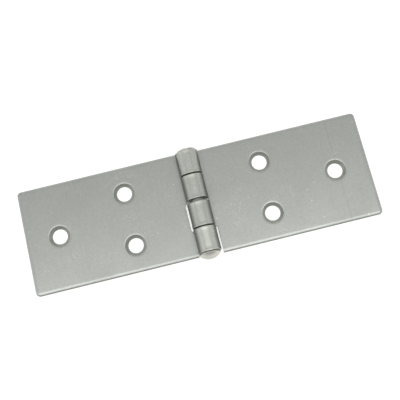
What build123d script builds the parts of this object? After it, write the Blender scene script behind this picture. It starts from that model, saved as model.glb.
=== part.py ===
from build123d import *
import os
from math import asin, degrees, sqrt

# Flat hinge: two leaves of steel sheet, each with two knuckles rolled from its own sheet round
# one pin, whose ends are hammered into domed heads.
# Millimetres. X runs across the leaves, Y along the pin and Z up from the surface that the
# opened hinge lies on. The origin is on that surface, under the middle of the pin.

# Leaf
leaf_width = 35.0  # along the pin
leaf_reach = 57.0  # from the pin's axis to a leaf's free end
sheet_thickness = 1.5
corner_radius = 1.3

# Rounding that the blanking die draws over the top edges, wider than it is deep
edge_roll_width = 1.15
edge_roll_depth = 0.45

# Screw holes: two beside the knuckles and one at the free end, countersunk from the top
hole_radius = 2.55
countersink_radius = 3.4
countersink_angle = 90
inner_hole_reach = 22.7  # from the pin's axis
outer_hole_reach = 46.0
inner_hole_spacing = 17.5  # between the two inner holes, along the pin

# Pin, with a domed head at each end
pin_radius = 2.2
head_radius = 3.2
head_land = 0.65  # straight side below the dome
head_dome_radius = 4.0
head_clearance = 0.05

# Knuckles round the pin
pin_clearance = 0.05
knuckle_count = 4
knuckle_gap = 0.7  # between neighbours, with the leaves level
end_play = 0.3  # one leaf lies this far along the pin past the other
barrel_setback = 0.5  # from a leaf's long edge to the face of its end knuckle
rim_chamfer = 0.25  # at the outer edges of each knuckle's faces
seam = 0.05  # between a knuckle's rolled end and the leaf that it comes back to

# Gaps beside the other leaf's knuckles, which stand in a leaf's notches, both seen from above.
# The close one is less than nothing: the leaf's edge reaches in under the round of the knuckle.
close_notch = -0.15
open_notch = 0.42
close_corner_radius = 0.3
open_corner_radius = 0.5

# Worked out from these
knuckle_bore_radius = pin_radius + pin_clearance
knuckle_radius = knuckle_bore_radius + sheet_thickness
pin_height = knuckle_radius
knuckle_pitch = leaf_width / knuckle_count
shank_half = leaf_width / 2 - barrel_setback - end_play / 2 + head_clearance

# A leaf's knuckles fill every second place along the pin, each as its lowest and highest Y
middle_knuckle = (knuckle_gap / 2, knuckle_pitch - knuckle_gap / 2)
end_knuckle = (barrel_setback - leaf_width / 2, -knuckle_pitch - knuckle_gap / 2)


def rolled_knuckle(low, high):
    """The sheet from the foot of the barrel, once round the pin and back onto its own leaf."""
    landing = degrees(asin((pin_height - sheet_thickness - seam) / knuckle_radius))
    roll_angle = 90 + 180 + landing
    centre = (0, pin_height)
    with BuildPart() as knuckle:
        with BuildSketch(Plane.XZ.offset(-high)):
            with BuildLine():
                outside = CenterArc(centre, knuckle_radius, -90, roll_angle)
                inside = CenterArc(centre, knuckle_bore_radius, -90, roll_angle)
                Line(outside @ 0, inside @ 0)
                Line(outside @ 1, inside @ 1)
            make_face()
        extrude(amount=high - low)
        arcs = knuckle.edges().filter_by(GeomType.CIRCLE)
        rims = arcs.filter_by(lambda arc: arc.radius > knuckle_bore_radius + seam)
        chamfer(rims, rim_chamfer)
    return knuckle.part


middle_roll = rolled_knuckle(*middle_knuckle)
end_roll = rolled_knuckle(*end_knuckle)


def hinge_leaf(end_notch, middle_notch):
    """A leaf lying towards -X, with the gaps that its two notches leave beside the other's knuckles."""
    half_width = leaf_width / 2
    notches = (
        (middle_knuckle[1], half_width, end_notch),
        (end_knuckle[1], middle_knuckle[0], middle_notch),
        (-half_width, end_knuckle[0], 0),
    )
    with BuildPart() as leaf:
        with BuildSketch() as blank:
            Rectangle(leaf_reach, leaf_width, align=(Align.MAX, Align.CENTER))
            for low, high, gap in notches:
                with Locations((0, low)):
                    Rectangle(
                        knuckle_radius + gap, high - low, align=(Align.MAX, Align.MIN), mode=Mode.SUBTRACT
                    )
            for gap, radius in ((close_notch, close_corner_radius), (open_notch, open_corner_radius)):
                foot = -knuckle_radius - gap
                corners = blank.vertices().filter_by_position(Axis.X, foot - seam, foot + seam)
                fillet(corners.filter_by_position(Axis.Y, seam - half_width, half_width - seam), radius)
            fillet(blank.vertices().group_by(Axis.X)[0], corner_radius)
        extrude(amount=sheet_thickness)

        # The rounded top edge follows the two long sides and the free end
        with BuildLine(Plane.XY.offset(sheet_thickness)):
            edge_path = FilletPolyline(
                (-knuckle_radius, half_width),
                (-leaf_reach, half_width),
                (-leaf_reach, -half_width),
                (-knuckle_radius, -half_width),
                radius=corner_radius,
            )
        # Here local X points outward and local Y down, and the cut takes all outside the rounding
        with BuildSketch(Plane(origin=edge_path @ 0, x_dir=(0, 1, 0), z_dir=edge_path % 0)):
            with BuildLine():
                rounding = EllipticalCenterArc(
                    (-edge_roll_width, edge_roll_depth), edge_roll_width, edge_roll_depth, -90, arc_size=90
                )
                Polyline(
                    rounding @ 1,
                    (edge_roll_width, edge_roll_depth),
                    (edge_roll_width, -edge_roll_depth),
                    (-edge_roll_width, -edge_roll_depth),
                    rounding @ 0,
                )
            make_face()
        sweep(path=edge_path, mode=Mode.SUBTRACT)

        with Locations(
            (-inner_hole_reach, inner_hole_spacing / 2, sheet_thickness),
            (-inner_hole_reach, -inner_hole_spacing / 2, sheet_thickness),
            (-outer_hole_reach, 0, sheet_thickness),
        ):
            CounterSinkHole(hole_radius, countersink_radius, counter_sink_angle=countersink_angle)

        add(middle_roll)
        add(end_roll)
    return leaf.part


# The far knuckles sit close in their notches and the near ones stand open in theirs
left_pressing = hinge_leaf(end_notch=close_notch, middle_notch=open_notch)
right_pressing = hinge_leaf(end_notch=open_notch, middle_notch=close_notch)

with BuildPart() as left_leaf:
    with Locations((0, end_play / 2)):
        add(left_pressing)

with BuildPart() as right_leaf:
    with Locations((0, -end_play / 2)):
        add(right_pressing, rotation=(0, 0, 180))

# The pin is turned about its own axis from half its outline. Local X runs along the pin.
with BuildPart() as hinge_pin:
    dome_base = shank_half + head_land
    dome_height = head_dome_radius - sqrt(head_dome_radius**2 - head_radius**2)
    tip = dome_base + dome_height
    with BuildSketch(Plane(origin=(0, 0, pin_height), x_dir=(0, 1, 0), z_dir=(1, 0, 0))):
        with BuildLine():
            Line((0, 0), (0, pin_radius))
            Line((0, pin_radius), (shank_half, pin_radius))
            Line((shank_half, pin_radius), (shank_half, head_radius))
            Line((shank_half, head_radius), (dome_base, head_radius))
            RadiusArc((dome_base, head_radius), (tip, 0), head_dome_radius)
            Line((tip, 0), (0, 0))
        make_face()
        mirror(about=Plane.YZ)
    revolve(axis=Axis((0, 0, pin_height), (0, 1, 0)))

left_leaf.part.label = "left_leaf"
right_leaf.part.label = "right_leaf"
hinge_pin.part.label = "hinge_pin"

os.makedirs("parts", exist_ok=True)
export_step(left_leaf.part, "parts/left_leaf.step")
export_step(right_leaf.part, "parts/right_leaf.step")
export_step(hinge_pin.part, "parts/hinge_pin.step")
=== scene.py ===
import math

import bmesh
import bpy
from mathutils import Matrix, Vector


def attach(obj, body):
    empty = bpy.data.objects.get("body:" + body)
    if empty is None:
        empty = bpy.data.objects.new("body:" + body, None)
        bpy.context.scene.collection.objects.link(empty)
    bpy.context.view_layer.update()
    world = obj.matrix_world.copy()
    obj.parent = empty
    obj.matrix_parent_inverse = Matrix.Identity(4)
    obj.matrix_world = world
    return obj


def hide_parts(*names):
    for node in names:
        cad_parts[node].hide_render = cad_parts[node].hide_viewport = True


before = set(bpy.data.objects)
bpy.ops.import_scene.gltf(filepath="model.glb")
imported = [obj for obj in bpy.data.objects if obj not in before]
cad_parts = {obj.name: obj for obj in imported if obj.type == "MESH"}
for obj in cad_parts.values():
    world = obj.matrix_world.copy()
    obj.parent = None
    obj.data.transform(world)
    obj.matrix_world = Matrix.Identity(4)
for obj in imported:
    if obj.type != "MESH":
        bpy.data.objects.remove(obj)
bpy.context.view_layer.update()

# Camera
# A short telephoto view from almost straight above, tipped a little towards the near edge, so
# that the near walls of the leaves and the near head of the pin just show.
mm = 0.001
picture_size = 400
focal_length = 750.0  # in pixels, as the picture's size is
sensor_width = 36.0
nearest_seen = 10 * mm
camera_elevation = 77.233
camera_azimuth = 5.952
camera_roll = 7.913
camera_distance = 244.9 * mm
camera_target = Vector((0.859, 1.126, 0.0)) * mm

camera_data = bpy.data.cameras.new("camera")
camera_data.sensor_width = sensor_width
camera_data.lens = focal_length / picture_size * sensor_width
camera_data.clip_start = nearest_seen
camera = bpy.data.objects.new("camera", camera_data)
bpy.context.scene.collection.objects.link(camera)
looking = (
    Matrix.Rotation(math.radians(-camera_azimuth), 4, "Z")
    @ Matrix.Rotation(math.radians(90 - camera_elevation), 4, "X")
    @ Matrix.Rotation(math.radians(-camera_roll), 4, "Z")
)
camera.matrix_world = (
    Matrix.Translation(camera_target)
    @ looking
    @ Matrix.Translation((0, 0, camera_distance))
)
bpy.context.scene.camera = camera


# Leaves
# Each leaf is a blank of 1.5 mm mild steel sheet. The die draws its top edges down along the two
# long sides and the free end, three screw holes are countersunk, and the two tabs are rolled up
# round the pin until their ends come back onto the leaf.
leaf_width = 35.0
leaf_reach = 57.0  # from the pin's axis to the free end
sheet_thickness = 1.5
corner_radius = 1.3
edge_roll_width = 1.15
edge_roll_depth = 0.45
hole_places = ((-22.7, 8.75), (-22.7, -8.75), (-46.0, 0.0))
hole_radius = 2.48
hole_depth = 0.5  # the straight part below the countersink
mouth_radius = 3.4
dish_radius = 4.05  # the countersink's pressing draws the face down from here
dish_depth = 0.05
dish_rings = 4
pin_height = 3.75
tab_root = -pin_height  # where the tabs leave the leaf
roll_stop = tab_root - 1  # the edge roll stops here, clear of the tabs
middle_tab = (0.35, 8.4)  # each tab by its two ends along the pin
end_tab = (-17.0, -9.1)
end_play = 0.3  # each leaf sits half of this off level along the pin
close_notch = -0.15  # its edge is tucked under the overhang of the other leaf's knuckle
open_notch = 0.52
close_corner_radius = 0.3
open_corner_radius = 0.5
rim_rounding = 0.22
bore_rounding = 0.12
roll_angle = 305.9  # brings the tab's end back down onto the leaf
roll_steps = 72
waist_depth = 0.08
flare_length = 1.3  # from a knuckle's rim to its full waist
flare_cuts = (0, 0.2, 0.45, 0.7, 1)  # where the flare gets an edge, as shares of its length
round_segments = 64
sharp_angle = 35
tiny = 0.001

# How much of a face's normal lies along an axis when the face is edge on to that axis, or faces
# partly, mostly or fully along it
edge_on = 0.1
facing_partly = 0.8
facing_mostly = 0.9
facing_fully = 0.95

# The order of a leaf's materials
face_finish, edge_finish, hole_finish, knuckle_finish = range(4)


def is_upright(edge):
    a, b = edge.verts
    return (a.co - b.co).xy.length < tiny


def middle(edge):
    return (edge.verts[0].co + edge.verts[1].co) / 2


def wall_edges(bm, height):
    """The edges between a level face at this height and the walls."""
    chosen = []
    for edge in bm.edges:
        at_height = all(abs(vert.co.z - height) < tiny for vert in edge.verts)
        beside_wall = any(abs(face.normal.z) < edge_on for face in edge.link_faces)
        beside_flat = any(abs(face.normal.z) > facing_mostly for face in edge.link_faces)
        if at_height and beside_wall and beside_flat:
            chosen.append(edge)
    return chosen


def with_borders(faces):
    parts = set(faces)
    for face in faces:
        parts.update(face.edges, face.verts)
    return list(parts)


def round_off(bm, edges, size, segments):
    bmesh.ops.bevel(
        bm,
        geom=edges,
        offset=size,
        offset_type="OFFSET",
        affect="EDGES",
        segments=segments,
        profile=0.5,
        material=-1,
        loop_slide=False,
    )
    bm.normal_update()


def leaf_outline(end_notch, middle_notch):
    """The leaf lying towards -X, with both tabs ending below the pin, before they are rolled."""
    half = leaf_width / 2
    return (
        (-leaf_reach, half),
        (-leaf_reach, -half),
        (0, -half),
        (0, end_tab[1]),
        (tab_root - middle_notch, end_tab[1]),
        (tab_root - middle_notch, middle_tab[0]),
        (0, middle_tab[0]),
        (0, middle_tab[1]),
        (tab_root - end_notch, middle_tab[1]),
        (tab_root - end_notch, half),
    )


def flat_blank(outline):
    """The sheet cut to its outline, with its corners rounded and its top edges drawn down."""
    # It is first made deeper, so that an even bevel becomes the wide, shallow edge roll
    stretch = edge_roll_width / edge_roll_depth
    deep = sheet_thickness * stretch
    bm = bmesh.new()
    corners = [bm.verts.new((x, y, deep)) for x, y in outline]
    bm.faces.new(corners)
    lifted = bmesh.ops.extrude_face_region(bm, geom=bm.faces[:])
    copied = [part for part in lifted["geom"] if isinstance(part, bmesh.types.BMVert)]
    bmesh.ops.translate(bm, verts=copied, vec=(0, 0, -deep))
    bmesh.ops.recalc_face_normals(bm, faces=bm.faces[:])

    # Corners of the free end and of the notches
    outer = [edge for edge in bm.edges if is_upright(edge) and middle(edge).x < tiny - leaf_reach]
    round_off(bm, outer, corner_radius, segments=8)
    for notch, radius in ((close_notch, close_corner_radius), (open_notch, open_corner_radius)):
        foot = tab_root - notch
        inner = [
            edge
            for edge in bm.edges
            if is_upright(edge)
            and abs(middle(edge).x - foot) < tiny
            and abs(middle(edge).y) < leaf_width / 2 - tiny
        ]
        round_off(bm, inner, radius, segments=4)

    # Edge roll
    rolled = [edge for edge in wall_edges(bm, deep) if middle(edge).x < roll_stop]
    round_off(bm, rolled, edge_roll_width, segments=10)
    bmesh.ops.scale(bm, vec=(1, 1, 1 / stretch), verts=bm.verts[:])
    return bm


def narrow_end_tab(bm):
    """The end tab is cut a little narrower than the leaf."""
    # The strip past the tab's side is cut across at the tab's root and taken away
    side = end_tab[0]
    whole = bm.verts[:] + bm.edges[:] + bm.faces[:]
    bmesh.ops.bisect_plane(bm, geom=whole, plane_co=(0, side, 0), plane_no=(0, 1, 0))
    strip = [face for face in bm.faces if face.calc_center_median().y < side - tiny]
    bmesh.ops.bisect_plane(
        bm, geom=with_borders(strip), plane_co=(tab_root, 0, 0), plane_no=(1, 0, 0)
    )
    waste = [
        face
        for face in bm.faces
        if face.calc_center_median().y < side - tiny and face.calc_center_median().x > tab_root
    ]
    bmesh.ops.delete(bm, geom=waste, context="FACES")

    # The two walls that this leaves open meet in an upright edge at the root, and are closed
    corner = [
        vert
        for vert in bm.verts
        if vert.is_boundary and (vert.co.xy - Vector((tab_root, side))).length < tiny
    ]
    upright = bmesh.ops.contextual_create(bm, geom=corner)["edges"]
    cut_open = [edge for edge in bm.edges if edge.is_boundary]
    bmesh.ops.edgenet_fill(bm, edges=cut_open + upright)
    bmesh.ops.recalc_face_normals(bm, faces=bm.faces[:])
    bm.normal_update()


def hole_steps():
    """Each ring of a screw hole as its radius and height, from the dish down to the underside."""
    steps = []
    for ring in range(1, dish_rings + 1):
        part = ring / dish_rings
        radius = dish_radius - part * (dish_radius - mouth_radius)
        steps.append((radius, sheet_thickness - dish_depth * part**2))
    steps.append((hole_radius, hole_depth))
    steps.append((hole_radius, 0))
    return steps


def draw_rings(bm, rim, place, radius, height, steps):
    """Extrudes a round rim again and again, each time to a new radius and height."""
    centre = Matrix.Translation((-place[0], -place[1], 0))
    for new_radius, new_height in steps:
        grown = bmesh.ops.extrude_edge_only(bm, edges=rim)["geom"]
        rim = [item for item in grown if isinstance(item, bmesh.types.BMEdge)]
        ring = [item for item in grown if isinstance(item, bmesh.types.BMVert)]
        spread = new_radius / radius
        bmesh.ops.scale(bm, vec=(spread, spread, 1), space=centre, verts=ring)
        bmesh.ops.translate(bm, vec=(0, 0, new_height - height), verts=ring)
        radius, height = new_radius, new_height


def add_screw_holes(bm):
    """Draws each hole's rings, in the underside and from the dish in the face down to it."""
    for height, steps in ((0, ((hole_radius, 0),)), (sheet_thickness, hole_steps())):
        flat = max(
            (face for face in bm.faces if abs(face.calc_center_median().z - height) < tiny),
            key=lambda face: face.calc_area(),
        )
        edges = flat.edges[:]
        bmesh.ops.delete(bm, geom=[flat], context="FACES_ONLY")
        rims = []
        for x, y in hole_places:
            circle = bmesh.ops.create_circle(
                bm,
                segments=round_segments,
                radius=dish_radius,
                matrix=Matrix.Translation((x, y, height)),
            )
            rims.append(list({edge for vert in circle["verts"] for edge in vert.link_edges}))
        bmesh.ops.triangle_fill(
            bm, edges=edges + sum(rims, []), use_beauty=True, use_dissolve=False
        )
        for place, rim in zip(hole_places, rims):
            draw_rings(bm, rim, place, dish_radius, height, steps)
    bmesh.ops.remove_doubles(bm, verts=bm.verts[:], dist=2 * tiny)


def roll_knuckles(bm):
    """Spins the two tab ends up round the pin's axis."""
    tab_ends = [
        face
        for face in bm.faces
        if face.normal.x > facing_mostly and face.calc_center_median().x > -tiny
    ]
    bmesh.ops.spin(
        bm,
        geom=with_borders(tab_ends),
        cent=(0, 0, pin_height),
        axis=(0, -1, 0),
        angle=math.radians(roll_angle),
        steps=roll_steps,
        use_merge=False,
    )


def barrel_faces(bm, low, high):
    """The faces that the spin made for the knuckle between these two ends."""
    chosen = []
    for face in bm.faces:
        centre = face.calc_center_median()
        if low < centre.y < high and (centre.x > 0 or centre.z > sheet_thickness + tiny):
            chosen.append(face)
    return chosen


def draw_in_waists(bm):
    """Rolling draws each knuckle in a little between its two rims, which stay full."""
    for low, high in (middle_tab, end_tab):
        for part in flare_cuts:
            inset = rim_rounding + part * flare_length
            for cut in (low + inset, high - inset):
                faces = with_borders(barrel_faces(bm, low, high))
                bmesh.ops.bisect_plane(
                    bm, geom=faces, plane_co=(0, cut, 0), plane_no=(0, 1, 0), dist=tiny
                )
        verts = {vert for face in barrel_faces(bm, low, high) for vert in face.verts}
        for vert in verts:
            arm = Vector((vert.co.x, 0, vert.co.z - pin_height))
            inset = min(vert.co.y - low, high - vert.co.y) - rim_rounding
            if inset > tiny and arm.length > pin_height - tiny:
                slack = 1 - min(inset / flare_length, 1)
                vert.co -= arm.normalized() * waist_depth * (1 - slack**2)


def in_screw_hole(face, turn, shift):
    """Whether a face of a finished leaf lies inside the mouth of one of its screw holes."""
    centre = face.calc_center_median() / mm - Vector((0, shift, 0))
    centre.rotate(Matrix.Rotation(math.radians(-turn), 3, "Z"))
    distance = min((centre.xy - Vector(place)).length for place in hole_places)
    return distance < mouth_radius and abs(face.normal.z) < facing_fully


def leaf_finish(face, turn, shift):
    """Which of the leaf's materials a face of the finished leaf has."""
    on_plate = abs(face.calc_center_median().x) > pin_height * mm
    rim_of_knuckle = abs(face.normal.y) > facing_fully
    wall_of_plate = on_plate and abs(face.normal.z) < facing_partly
    if in_screw_hole(face, turn, shift):
        return hole_finish
    if rim_of_knuckle or wall_of_plate:
        return edge_finish
    return face_finish if on_plate else knuckle_finish


def finished_mesh(name, bm):
    for face in bm.faces:
        face.smooth = True
    for edge in bm.edges:
        edge.smooth = edge.calc_face_angle(0) < math.radians(sharp_angle)
    mesh = bpy.data.meshes.new(name)
    bm.to_mesh(mesh)
    bm.free()
    return mesh


def leaf_mesh(name, end_notch, middle_notch, turn, shift):
    """A leaf made lying towards -X, then turned and shifted into its place."""
    bm = flat_blank(leaf_outline(end_notch, middle_notch))
    narrow_end_tab(bm)

    # Edges of the underside, which the rolling carries round to the outside of the knuckles
    under = [edge for edge in wall_edges(bm, 0) if middle(edge).x < -tiny]
    round_off(bm, under, rim_rounding, segments=4)
    top_edges = wall_edges(bm, sheet_thickness)
    bore = [edge for edge in top_edges if roll_stop < middle(edge).x < -tiny]
    round_off(bm, bore, bore_rounding, segments=2)

    add_screw_holes(bm)
    roll_knuckles(bm)
    draw_in_waists(bm)

    turned = Matrix.Rotation(math.radians(turn), 3, "Z")
    bmesh.ops.rotate(bm, verts=bm.verts[:], cent=(0, 0, 0), matrix=turned)
    bmesh.ops.translate(bm, verts=bm.verts[:], vec=(0, shift, 0))
    bmesh.ops.scale(bm, vec=(mm, mm, mm), verts=bm.verts[:])
    bmesh.ops.recalc_face_normals(bm, faces=bm.faces[:])
    for face in bm.faces:
        face.material_index = leaf_finish(face, turn, shift)
    return finished_mesh(name, bm)


def linear(hex_colour):
    """The linear colour that Blender reads, from an sRGB hex value."""
    channels = [int(hex_colour[i : i + 2], 16) / 255 for i in (1, 3, 5)]
    return (*[c / 12.92 if c <= 0.04045 else ((c + 0.055) / 1.055) ** 2.4 for c in channels], 1)


def add_node(tree, kind, inputs=None, **settings):
    """One node with its settings, its inputs each fed by a value or by another node's output."""
    node = tree.nodes.new(kind)
    for name, value in settings.items():
        setattr(node, name, value)
    for socket, value in (inputs or {}).items():
        if isinstance(value, bpy.types.NodeSocket):
            tree.links.new(value, node.inputs[socket])
        else:
            node.inputs[socket].default_value = value
    return node


def empty_material(name):
    material = bpy.data.materials.new(name)
    material.use_nodes = True
    material.node_tree.nodes.clear()
    return material, material.node_tree


# The places of a Mix node's two colours and of the mixed one, which share their names with others
first_colour, second_colour, mixed_colour = 6, 7, 2


def bare_metal(tree, tint, roughness, relief, strength, height):
    """A metal of this colour and roughness, whose surface rises and falls with the relief."""
    bump = add_node(
        tree,
        "ShaderNodeBump",
        {"Height": relief.outputs["Fac"], "Strength": strength, "Distance": height * mm},
    )
    shader = add_node(
        tree,
        "ShaderNodeBsdfPrincipled",
        {
            "Base Color": tint.outputs[mixed_colour],
            "Metallic": 1.0,
            "Roughness": roughness,
            "Normal": bump.outputs["Normal"],
        },
    )
    add_node(tree, "ShaderNodeOutputMaterial", {"Surface": shader.outputs["BSDF"]})


# Mild steel sheet after barrel tumbling: a dull satin face, mottled in broad clouds, with a fine
# peened grain, faint lines along the way the sheet was rolled and a few small burnished specks.
cloud_size = 14.0
cloud_contrast = 0.65
shade_lift = 0.26  # lifts the mix of clouds and lines towards the light steel
shade_range = (0.35, 0.65)
gloss_range = (0.3, 0.7)  # the clouds' values where the steel is roughest and where it is smoothest
gloss_change = 0.03
grain_size = 0.45  # tumbling grain is finer than this, drawn as coarse as it needs to show
grain_range = (0.25, 0.75)
grain_contrast = 0.09
grain_strength = 0.25
grain_height = 0.02
line_width = 0.5
line_length = 14.0
speck_spacing = 2.8
speck_size = 0.24
speck_core = 0.4  # the share of its size where a speck is at its brightest
bare_share = 0.62  # this share of the places for a speck have none
speck_colour = "#E6E7E3"
scuff_patch = 9.0
scuff_patch_range = (0.52, 0.68)
scuff_size = 0.4
scuff_range = (0.6, 0.75)
scuff_strength = 0.7
press_line_reach = 46.8  # how far out from the pin it runs across the leaf
press_line_half_width = 0.2
press_line_shade = 0.84
painted_flank_shade_band = (1.2, 3.65)  # how far off the pin's height the painted shade on the flank is darkest, and where it ends
painted_light_band = (-7, -10)  # along the pin, where the painted light begins and where it is full


def steel_marks(tree, place):
    """How burnished the steel is at each point, from 0 to 1."""
    # Each cell of the pattern holds one speck, and only the cells with a high random value show it
    cells = add_node(
        tree, "ShaderNodeTexVoronoi", {"Vector": place, "Scale": 1 / (speck_spacing * mm)}
    )
    speck = add_node(
        tree,
        "ShaderNodeMapRange",
        {
            "Value": cells.outputs["Distance"],
            "From Min": speck_size / speck_spacing,
            "From Max": speck_core * speck_size / speck_spacing,
        },
    )
    chance = add_node(tree, "ShaderNodeSeparateColor", {"Color": cells.outputs["Color"]})
    picked = add_node(
        tree,
        "ShaderNodeMath",
        {0: chance.outputs["Red"], 1: bare_share},
        operation="GREATER_THAN",
    )
    speck = add_node(
        tree,
        "ShaderNodeMath",
        {0: speck.outputs["Result"], 1: picked.outputs["Value"]},
        operation="MULTIPLY",
    )

    # Scuffs are finer flecks that lie together in patches
    patch = add_node(tree, "ShaderNodeTexNoise", {"Vector": place, "Scale": 1 / (scuff_patch * mm)})
    patch = add_node(
        tree,
        "ShaderNodeMapRange",
        {
            "Value": patch.outputs["Fac"],
            "From Min": scuff_patch_range[0],
            "From Max": scuff_patch_range[1],
        },
    )
    fleck = add_node(
        tree,
        "ShaderNodeTexNoise",
        {"Vector": place, "Scale": 1 / (scuff_size * mm), "Detail": 1.0},
    )
    fleck = add_node(
        tree,
        "ShaderNodeMapRange",
        {
            "Value": fleck.outputs["Fac"],
            "From Min": scuff_range[0],
            "From Max": scuff_range[1],
            "To Max": scuff_strength,
        },
    )
    scuff = add_node(
        tree,
        "ShaderNodeMath",
        {0: patch.outputs["Result"], 1: fleck.outputs["Result"]},
        operation="MULTIPLY",
    )
    marks = add_node(
        tree,
        "ShaderNodeMath",
        {0: speck.outputs["Value"], 1: scuff.outputs["Value"]},
        operation="MAXIMUM",
    )
    return marks.outputs["Value"]


def distance_from(tree, coordinate, place):
    """How far a point is from this place along one axis, to either side."""
    offset = add_node(
        tree, "ShaderNodeMath", {0: coordinate, 1: place * mm}, operation="SUBTRACT"
    )
    length = add_node(
        tree, "ShaderNodeMath", {0: offset.outputs["Value"]}, operation="ABSOLUTE"
    )
    return length.outputs["Value"]


def steel_brightness(tree, place, grain, flank_shade, near_light):
    """How bright the steel is at each point, about 1, from its grain and from where the point is,
    with painted shade on the knuckles' flanks and painted light at the near end of the pin.
    """
    spot = add_node(tree, "ShaderNodeSeparateXYZ", {"Vector": place})
    grainy = add_node(
        tree,
        "ShaderNodeMapRange",
        {
            "Value": grain.outputs["Fac"],
            "From Min": grain_range[0],
            "From Max": grain_range[1],
            "To Min": 1 - grain_contrast,
            "To Max": 1 + grain_contrast,
        },
    )

    # Painted shade: the knuckles are darkened at their sides, level with the pin, where shade falls
    # beside the leaves
    flank_painted_shade = add_node(
        tree,
        "ShaderNodeMapRange",
        {
            "Value": distance_from(tree, spot.outputs["Z"], pin_height),
            "From Min": painted_flank_shade_band[0] * mm,
            "From Max": painted_flank_shade_band[1] * mm,
            "To Min": flank_shade,
        },
    )

    # A faint line that a die has pressed across one leaf, along the pin
    pressed = add_node(
        tree,
        "ShaderNodeMapRange",
        {
            "Value": distance_from(tree, spot.outputs["X"], press_line_reach),
            "From Max": press_line_half_width * mm,
            "To Min": press_line_shade,
            "To Max": 1.0,
        },
    )

    # Painted light: the steel is made a little brighter towards the near end of the pin
    painted_near_light = add_node(
        tree,
        "ShaderNodeMapRange",
        {
            "Value": spot.outputs["Y"],
            "From Min": painted_light_band[0] * mm,
            "From Max": painted_light_band[1] * mm,
            "To Min": 1.0,
            "To Max": near_light,
        },
    )
    brightness = grainy.outputs["Result"]
    for part in (flank_painted_shade, pressed, painted_near_light):
        product = add_node(
            tree,
            "ShaderNodeMath",
            {0: brightness, 1: part.outputs["Result"]},
            operation="MULTIPLY",
        )
        brightness = product.outputs["Value"]
    return brightness


def tumbled_steel(name, dark, light, roughness, flank_shade=1.0, streaks=0.12, near_light=1.0):
    """The flank shade is how bright the steel stays level with the pin, a painted shade on the
    knuckles' sides, and the near light how much brighter it is at the near end of the pin, a painted
    light."""
    material, tree = empty_material(name)
    place = add_node(tree, "ShaderNodeTexCoord").outputs["Object"]
    cloud = add_node(
        tree,
        "ShaderNodeTexNoise",
        {"Vector": place, "Scale": 1 / (cloud_size * mm), "Detail": 5.0, "Roughness": 0.55},
    )
    grain = add_node(
        tree,
        "ShaderNodeTexNoise",
        {"Vector": place, "Scale": 1 / (grain_size * mm), "Detail": 2.0, "Roughness": 0.6},
    )
    across = 1 / (line_width * mm)
    along = 1 / (line_length * mm)
    drawn_out = add_node(
        tree, "ShaderNodeMapping", {"Vector": place, "Scale": (across, along, across)}
    )
    lines = add_node(
        tree,
        "ShaderNodeTexNoise",
        {"Vector": drawn_out.outputs["Vector"], "Scale": 1.0, "Detail": 2.0},
    )

    # The clouds and the lines together choose between the dark and the light steel
    shade = add_node(
        tree,
        "ShaderNodeMath",
        {0: lines.outputs["Fac"], 1: streaks, 2: shade_lift - streaks / 2},
        operation="MULTIPLY_ADD",
    )
    shade = add_node(
        tree,
        "ShaderNodeMath",
        {0: cloud.outputs["Fac"], 1: cloud_contrast, 2: shade.outputs["Value"]},
        operation="MULTIPLY_ADD",
    )
    shade = add_node(
        tree,
        "ShaderNodeMapRange",
        {
            "Value": shade.outputs["Value"],
            "From Min": shade_range[0],
            "From Max": shade_range[1],
        },
    )
    tint = add_node(
        tree,
        "ShaderNodeMix",
        {
            "Factor": shade.outputs["Result"],
            first_colour: linear(dark),
            second_colour: linear(light),
        },
        data_type="RGBA",
    )
    tint = add_node(
        tree,
        "ShaderNodeVectorMath",
        {
            0: tint.outputs[mixed_colour],
            1: steel_brightness(tree, place, grain, flank_shade, near_light),
        },
        operation="MULTIPLY",
    )
    tint = add_node(
        tree,
        "ShaderNodeMix",
        {
            "Factor": steel_marks(tree, place),
            first_colour: tint.outputs["Vector"],
            second_colour: linear(speck_colour),
        },
        data_type="RGBA",
    )
    rough = add_node(
        tree,
        "ShaderNodeMapRange",
        {
            "Value": cloud.outputs["Fac"],
            "From Min": gloss_range[0],
            "From Max": gloss_range[1],
            "To Min": roughness + gloss_change,
            "To Max": roughness - gloss_change,
        },
    )
    bare_metal(tree, tint, rough.outputs["Result"], grain, grain_strength, grain_height)
    return material


# Edges that the die or the drill has cut: matt, torn metal, darker than the tumbled faces
torn_grain = 0.25
torn_upwards = 0.3  # how close the tears lie upwards, against sideways, so that they run upright
torn_strength = 0.5
torn_height = 0.06


def cut_steel(name, dark, light, roughness):
    material, tree = empty_material(name)
    place = add_node(tree, "ShaderNodeTexCoord").outputs["Object"]
    sideways = 1 / (torn_grain * mm)
    upwards = torn_upwards / (torn_grain * mm)
    tears = add_node(
        tree, "ShaderNodeMapping", {"Vector": place, "Scale": (sideways, sideways, upwards)}
    )
    torn = add_node(
        tree,
        "ShaderNodeTexNoise",
        {"Vector": tears.outputs["Vector"], "Scale": 1.0, "Detail": 3.0},
    )
    tint = add_node(
        tree,
        "ShaderNodeMix",
        {
            "Factor": torn.outputs["Fac"],
            first_colour: linear(dark),
            second_colour: linear(light),
        },
        data_type="RGBA",
    )
    bare_metal(tree, tint, roughness, torn, torn_strength, torn_height)
    return material


def add_piece(name, mesh, body, node, materials):
    piece = bpy.data.objects.new(name, mesh)
    bpy.context.scene.collection.objects.link(piece)
    for material in materials:
        mesh.materials.append(material)
    shading = piece.modifiers.new("even shading", "WEIGHTED_NORMAL")
    shading.keep_sharp = True
    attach(piece, body)
    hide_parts(node)
    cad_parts[node].material_slots[0].material = materials[0]


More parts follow.
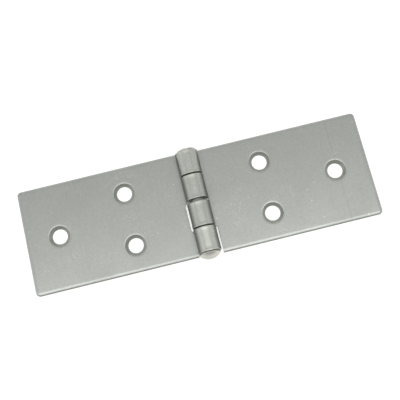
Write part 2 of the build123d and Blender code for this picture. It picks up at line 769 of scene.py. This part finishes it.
leaf_face = tumbled_steel("tumbled_mild_steel", "#ADB0AB", "#B9BCB7", roughness=0.34)
knuckle_face = tumbled_steel(
    "rolled_mild_steel",
    "#B3B6AF",
    "#C7CAC2",
    roughness=0.34,
    # painted shade on the knuckles' sides, level with the pin
    flank_shade=0.35,
    streaks=0.25,
    # painted light towards the near end of the pin
    near_light=1.09,
)
leaf_edge = cut_steel("sheared_sheet_edge", "#7C7E7A", "#A2A4A0", roughness=0.5)
leaf_hole = cut_steel("countersunk_steel", "#999B94", "#A9ABA5", roughness=0.45)
leaf_finishes = (leaf_face, leaf_edge, leaf_hole, knuckle_face)
add_piece(
    "left_leaf_pressing",
    leaf_mesh("left_leaf_pressing", close_notch, open_notch, turn=0, shift=end_play / 2),
    body="fixed_leaf",
    node="left_leaf",
    materials=leaf_finishes,
)
add_piece(
    "right_leaf_pressing",
    leaf_mesh("right_leaf_pressing", open_notch, close_notch, turn=180, shift=-end_play / 2),
    body="moving_leaf",
    node="right_leaf",
    materials=leaf_finishes,
)


# Hinge pin
# A length of drawn steel wire with a film of oil on it. Each end stands out of the barrel and is
# hammered down into a low domed head, which keeps the flats of the blows.
pin_radius = 2.2
shank_half = 16.9
dome_segments = 48
dome_rings = 40

# Each head's radius, its straight side, the radius of its dome and how far off the axis it sits
near_head = (3.45, 0.58, 4.4, -0.2)
far_head = (3.05, 0.5, 6.5, 0.2)

# The rounded edge beside the knuckle, and how far in and down each of its two facets goes
under_edge = 0.25
under_edge_facets = ((0.2, 0.55), (0.8, 0.45))

# Each blow as its angle round the pin, its lean away from the pin's end, and how deep it cut
near_blows = (
    (95, 24, 0.04),
    (40, 33, 0.1),
    (150, 30, 0.09),
    (265, 27, 0.12),
    (210, 35, 0.08),
    (330, 30, 0.1),
)
far_blows = ((80, 12, 0.06), (20, 18, 0.07), (140, 17, 0.08), (200, 16, 0.06), (290, 17, 0.08))

# The wire is made from both heads towards each other. Its two ends stop at these places along the
# pin, inside the second knuckle, and are joined.
near_wire_end = 1.0
far_wire_end = 3.0

# The order of the pin's materials
head_finish, wire_finish = range(2)


def hammered_dome(dome_radius, base, blows):
    """The cap of a sphere above this base, with a flat cut into it by each blow."""
    bm = bmesh.new()
    bmesh.ops.create_uvsphere(
        bm, u_segments=dome_segments, v_segments=dome_rings, radius=dome_radius
    )
    bmesh.ops.bisect_plane(
        bm,
        geom=bm.verts[:] + bm.edges[:] + bm.faces[:],
        plane_co=(0, 0, base),
        plane_no=(0, 0, 1),
        clear_inner=True,
    )
    for turn, lean, depth in blows:
        turned = Matrix.Rotation(math.radians(turn), 3, "Z")
        aim = turned @ Matrix.Rotation(math.radians(lean), 3, "Y")
        normal = aim @ Vector((0, 0, 1))
        cut = bmesh.ops.bisect_plane(
            bm,
            geom=bm.verts[:] + bm.edges[:] + bm.faces[:],
            plane_co=normal * (dome_radius - depth),
            plane_no=normal,
            clear_outer=True,
        )
        ring = [item for item in cut["geom_cut"] if isinstance(item, bmesh.types.BMEdge)]
        bmesh.ops.edgeloop_fill(bm, edges=ring)
    return bm


def pin_half(head, blows, side, length):
    """One end of the pin, made upright from its dome down and then laid along Y to this side."""
    head_radius, head_land, dome_radius, off_axis = head
    cap_height = dome_radius - math.sqrt(dome_radius**2 - head_radius**2)
    cap_base = dome_radius - cap_height
    bm = hammered_dome(dome_radius, cap_base, blows)
    bmesh.ops.translate(bm, vec=(off_axis, 0, 0), verts=bm.verts[:])

    # Down the side of the head, round its lower edge, in to the wire, and along it
    steps = [(head_radius, head_land - under_edge)]
    for inset, drop in under_edge_facets:
        steps.append((head_radius - inset * under_edge, drop * under_edge))
    steps.append((pin_radius, 0))
    steps.append((pin_radius, length))
    radius = head_radius
    rim = [edge for edge in bm.edges if edge.is_boundary]
    for new_radius, drop in steps:
        grown = bmesh.ops.extrude_edge_only(bm, edges=rim)["geom"]
        rim = [item for item in grown if isinstance(item, bmesh.types.BMEdge)]
        ring = [item for item in grown if isinstance(item, bmesh.types.BMVert)]
        sideways = -off_axis if drop == 0 else 0
        bmesh.ops.translate(bm, vec=(sideways, 0, -drop), verts=ring)
        spread = new_radius / radius
        bmesh.ops.scale(bm, vec=(spread, spread, 1), verts=ring)
        radius = new_radius

    middle_of_pin = cap_base - head_land - shank_half
    bmesh.ops.translate(bm, vec=(0, 0, -middle_of_pin), verts=bm.verts[:])
    laid = Matrix.Rotation(math.radians(-90 * side), 3, "X")
    bmesh.ops.rotate(bm, cent=(0, 0, 0), matrix=laid, verts=bm.verts[:])
    half = bpy.data.meshes.new("half_pin")
    bm.to_mesh(half)
    bm.free()
    return half


bm = bmesh.new()
bm.from_mesh(pin_half(near_head, near_blows, -1, shank_half + near_wire_end))
bm.from_mesh(pin_half(far_head, far_blows, 1, shank_half - far_wire_end))
bmesh.ops.bridge_loops(bm, edges=[edge for edge in bm.edges if edge.is_boundary])
bmesh.ops.recalc_face_normals(bm, faces=bm.faces[:])
bmesh.ops.translate(bm, vec=(0, 0, pin_height), verts=bm.verts[:])
bmesh.ops.scale(bm, vec=(mm, mm, mm), verts=bm.verts[:])
for face in bm.faces:
    between_heads = abs(face.calc_center_median().y) < shank_half * mm
    face.material_index = wire_finish if between_heads else head_finish
pin_mesh = finished_mesh("peened_pin", bm)

# The hammered heads are a little brighter and warmer than the sheet, and the oiled wire that
# shows between the knuckles is duller and darker, partly for its oil and partly as painted shade in
# the gaps between the knuckles
head_steel = tumbled_steel("hammered_wire_steel", "#B8B7AF", "#C4C3BB", roughness=0.36)
oiled_wire_painted_shade = cut_steel("oiled_wire_painted_shade", "#A0A09A", "#AEADA7", roughness=0.5)
add_piece(
    "peened_pin",
    pin_mesh,
    body="fixed_leaf",
    node="hinge_pin",
    materials=(head_steel, oiled_wire_painted_shade),
)


# Floor
# A wide sheet of white paper. To the camera and to reflections in the metal it glows as well as
# catching the light, so that it stays plain white, except where the hinge shuts it in: there the
# glow fades out, a painted shade.
floor_reach = 30
paper_colour = "#A8A8A6"
paper_glow = 0.82
shut_in_reach = 6
shut_in_range = (0.015, 0.035)  # how open the paper is where the glow begins and where it is full
shut_in_samples = 16

floor_mesh = bpy.data.meshes.new("floor")
bm = bmesh.new()
bmesh.ops.create_grid(bm, x_segments=1, y_segments=1, size=floor_reach)
bm.to_mesh(floor_mesh)
bm.free()
floor = bpy.data.objects.new("floor", floor_mesh)
bpy.context.scene.collection.objects.link(floor)

paper, tree = empty_material("white_paper")
ray = add_node(tree, "ShaderNodeLightPath")
seen = add_node(
    tree,
    "ShaderNodeMath",
    {0: ray.outputs["Is Camera Ray"], 1: ray.outputs["Is Glossy Ray"]},
    operation="MAXIMUM",
)
seen = add_node(
    tree,
    "ShaderNodeMath",
    {0: seen.outputs["Value"], 1: ray.outputs["Is Transmission Ray"]},
    operation="MAXIMUM",
)
lit = add_node(tree, "ShaderNodeBsdfDiffuse", {"Color": linear(paper_colour)})
# The glow fades out where the hinge shuts the paper in, a painted shade in the gaps and under it
shut_in = add_node(
    tree,
    "ShaderNodeAmbientOcclusion",
    {"Distance": shut_in_reach * mm},
    samples=shut_in_samples,
)
glow_with_painted_shade = add_node(
    tree,
    "ShaderNodeMapRange",
    {
        "Value": shut_in.outputs["AO"],
        "From Min": shut_in_range[0],
        "From Max": shut_in_range[1],
        "To Max": paper_glow,
    },
)
glow = add_node(
    tree,
    "ShaderNodeEmission",
    {"Color": linear("#FFFFFF"), "Strength": glow_with_painted_shade.outputs["Result"]},
)
both = add_node(
    tree, "ShaderNodeAddShader", {0: lit.outputs["BSDF"], 1: glow.outputs["Emission"]}
)
mixed = add_node(
    tree,
    "ShaderNodeMixShader",
    {"Fac": seen.outputs["Value"], 1: lit.outputs["BSDF"], 2: both.outputs["Shader"]},
)
add_node(tree, "ShaderNodeOutputMaterial", {"Surface": mixed.outputs["Shader"]})
floor_mesh.materials.append(paper)


# Light
# A wide softbox overhead, drawn towards the near side, in a pale room: a weaker glow from the
# ceiling round it, from the two side walls and from the far wall.
room_glow = 0.5


def add_softbox(name, place, turn, size, radiance):
    light = bpy.data.lights.new(name, "AREA")
    light.shape = "RECTANGLE"
    light.size, light.size_y = size
    light.energy = radiance * math.pi * size[0] * size[1]
    lamp = bpy.data.objects.new(name, light)
    bpy.context.scene.collection.objects.link(lamp)
    lamp.location = place
    lamp.rotation_euler = [math.radians(angle) for angle in turn]


# Each one's name, its place, its turn, its size and how bright it looks
add_softbox("softbox", (-0.03, -0.23, 0.8), (0, 0, 0), (0.92, 0.56), 0.98)
add_softbox("ceiling", (-0.4, -0.26, 0.82), (0, 0, 0), (2.6, 0.84), 0.35)
add_softbox("far ceiling", (0, 0.8, 0.81), (0, 0, 0), (2.6, 0.9), 0.18)
add_softbox("left wall", (-1.3, 0, 0.5), (0, -70, 0), (0.9, 1.2), 0.5)
add_softbox("right wall", (1.3, 0, 0.5), (0, 70, 0), (0.9, 1.2), 0.4)
add_softbox("far wall", (0, 1.3, 0.5), (-70, 0, 0), (1.6, 0.8), 0.4)

world = bpy.data.worlds.new("studio")
world.use_nodes = True
background = world.node_tree.nodes["Background"]
background.inputs["Color"].default_value = linear("#FFFFFF")
background.inputs["Strength"].default_value = room_glow
bpy.context.scene.world = world
bpy.context.scene.view_settings.view_transform = "Standard"
